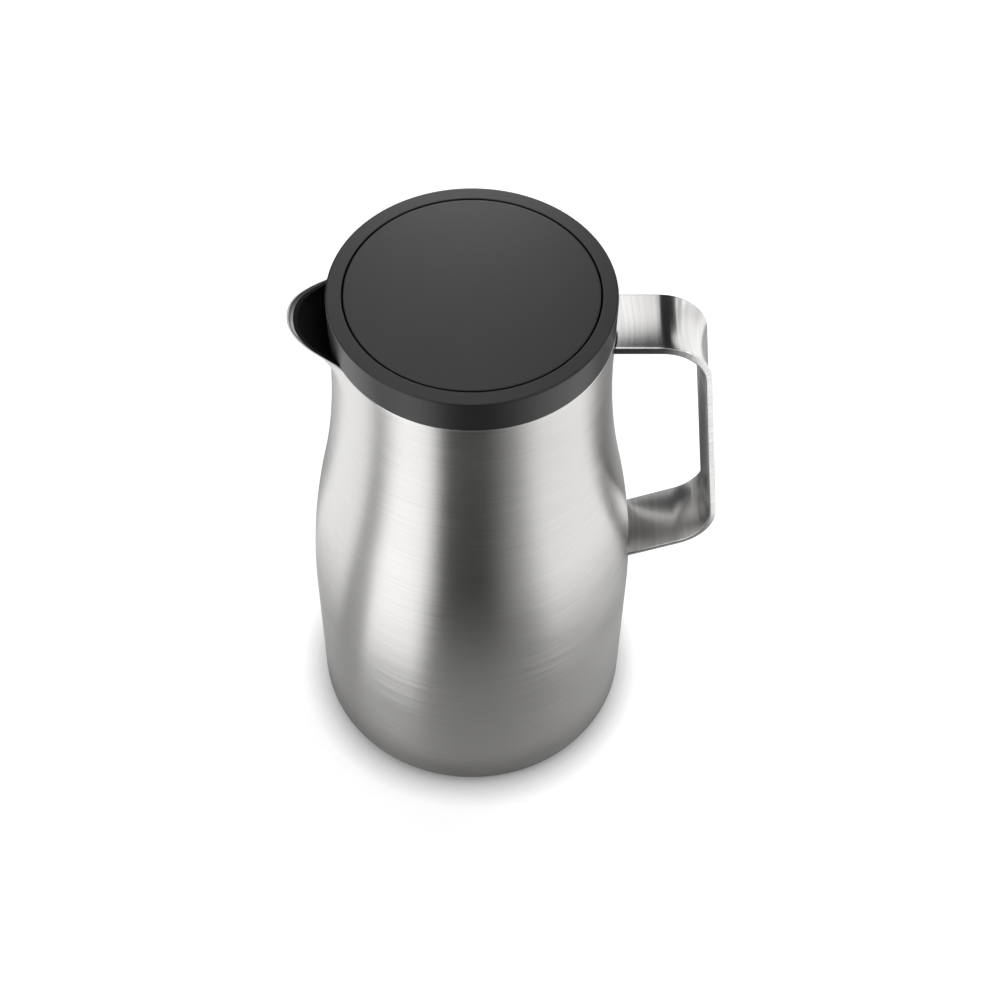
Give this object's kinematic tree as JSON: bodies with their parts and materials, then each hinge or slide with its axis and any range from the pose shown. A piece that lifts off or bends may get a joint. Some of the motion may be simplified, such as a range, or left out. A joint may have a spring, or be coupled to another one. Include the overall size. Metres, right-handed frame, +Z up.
{
  "type": "thermal carafe",
  "caption": "Double-walled steel serving jug with a waisted neck, pressed pouring spout, steel strap handle and a black screw lid whose round top is a press button that opens the pouring valve.",
  "frame": {"origin": "on the jug's axis, at the plane it stands on", "axes": "+Z up along the jug's axis, +X towards the handle, -X towards the spout"},
  "size_m": [0.1437, 0.1156, 0.214],
  "materials": {
    "brushed_steel": "fine brushing round the body",
    "inner_steel": "satin drawn steel",
    "copper": "thin copper foil",
    "getter_metal": "plain",
    "lid_plastic": "satin black",
    "inner_plastic": "plain black moulding",
    "seal_silicone": "dark silicone",
    "pad_rubber": "soft black foot",
    "bright_steel": "bright stainless"
  },
  "bodies": {
    "vessel": {"outer_shell": "brushed_steel", "base_cap": "brushed_steel", "base_pad": "pad_rubber", "seal_off_plug": "getter_metal", "getter": "getter_metal", "inner_flask": "inner_steel", "flask_heel": "inner_steel", "flask_neck": "inner_steel", "flask_floor": "inner_steel", "mouth_flange": "inner_steel", "copper_foil": "copper", "mouth_gasket": "seal_silicone", "pour_collar": "inner_plastic", "thread_insert": "inner_plastic", "handle": "brushed_steel"},
    "seal_carrier": {"stopper_seal": "seal_silicone"},
    "lid": {"lid_ring": "lid_plastic", "lid_deck": "inner_plastic", "stopper_body": "inner_plastic", "chamber_gasket": "seal_silicone", "stem_bush": "inner_plastic", "stem_o_ring": "seal_silicone", "lid_screws": "bright_steel"},
    "button": {"press_disc": "lid_plastic", "valve_stem": "bright_steel", "valve_plate": "inner_plastic", "valve_seal": "seal_silicone", "stem_nut": "bright_steel", "button_spring": "bright_steel"}
  },
  "joints": [
    {"name": "lid_rise", "type": "slide", "parent": "vessel", "child": "seal_carrier", "axis": [0, 0, 1], "range_m": [0, 0.072]},
    {"name": "lid_turn", "type": "hinge", "parent": "seal_carrier", "child": "lid", "pos_m": [0, 0, 0.19], "axis": [0, 0, 1], "range_deg": [0, 721]},
    {"name": "button_press", "type": "slide", "parent": "lid", "child": "button", "axis": [0, 0, -1], "range_m": [0, 0.004], "stiffness_N_per_m": 800, "springref_m": -0.006, "deforming": ["button_spring"]}
  ],
  "couplings": [
    {"joint": "lid_turn", "follows": "lid_rise", "rad_per_m": 174.53}
  ]
}
